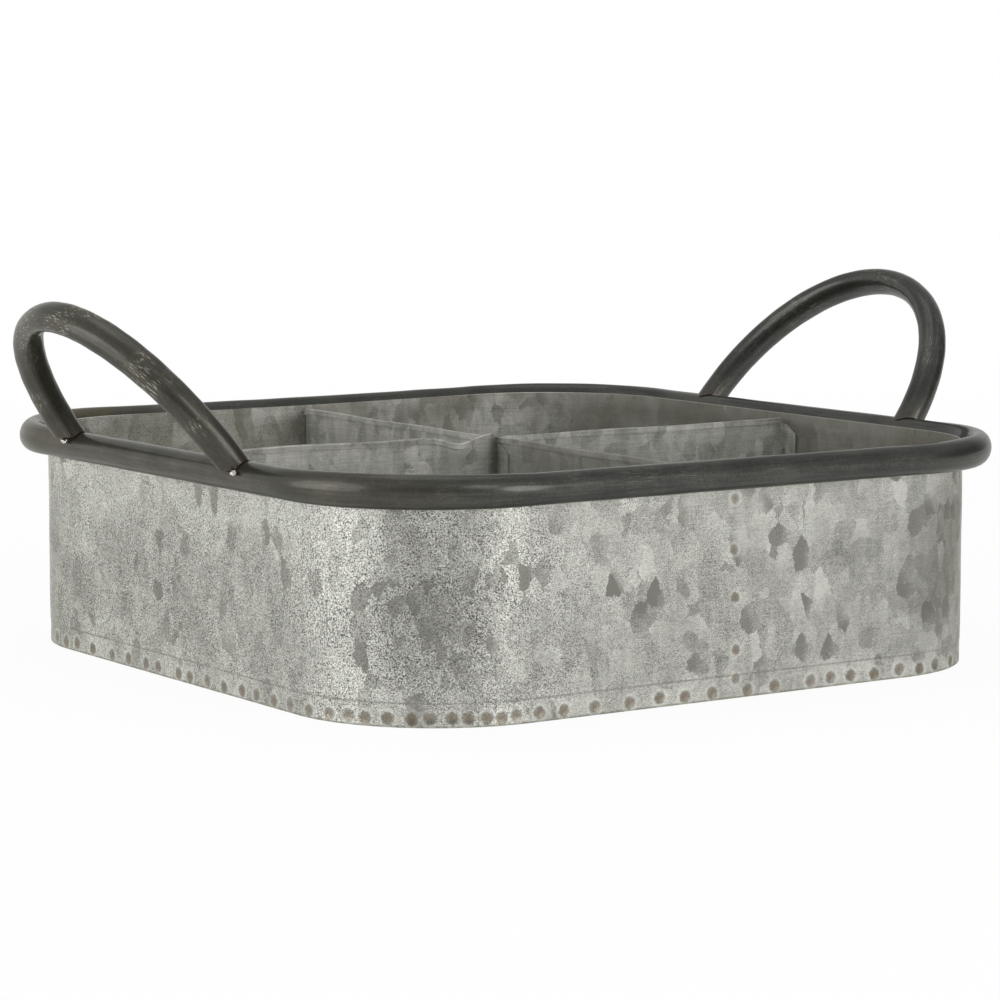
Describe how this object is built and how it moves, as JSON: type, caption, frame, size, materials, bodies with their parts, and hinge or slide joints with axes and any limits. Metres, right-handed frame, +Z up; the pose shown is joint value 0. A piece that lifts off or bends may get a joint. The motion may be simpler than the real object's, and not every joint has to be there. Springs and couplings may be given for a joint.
{
  "type": "compartment tray",
  "caption": "Square tray of galvanised sheet with rounded corners, crossed dividers that make equal compartments, a round bar rim and raised bow handles.",
  "frame": {"origin": "middle of the body on the plane that it stands on; the handles lean a little differently, so the box's middle is 2 mm from it", "axes": "+Z up out of the tray; X runs from the left handle to the right handle; Y runs along the long divider"},
  "size_m": [0.4203, 0.3366, 0.1521],
  "materials": {
    "galvanised_wall": "hot-dip galvanised sheet, dull and spangled with age",
    "galvanised_base": "hot-dip galvanised sheet, dull",
    "galvanised_divider": "hot-dip galvanised sheet, dull",
    "dark_bar": "blackened bar, satin, worn and lightly rusted at the welds",
    "weld_metal": "bright bare weld metal"
  },
  "bodies": {
    "root": {"wall_band": "galvanised_wall", "base_pan": "galvanised_base", "long_divider": "galvanised_divider", "short_divider_left": "galvanised_divider", "short_divider_right": "galvanised_divider", "rim_ring": "dark_bar", "handle_left": "dark_bar", "handle_right": "dark_bar", "weld_bead_left_front": "weld_metal", "weld_bead_left_rear": "weld_metal", "weld_bead_right_front": "weld_metal", "weld_bead_right_rear": "weld_metal"}
  },
  "joints": []
}
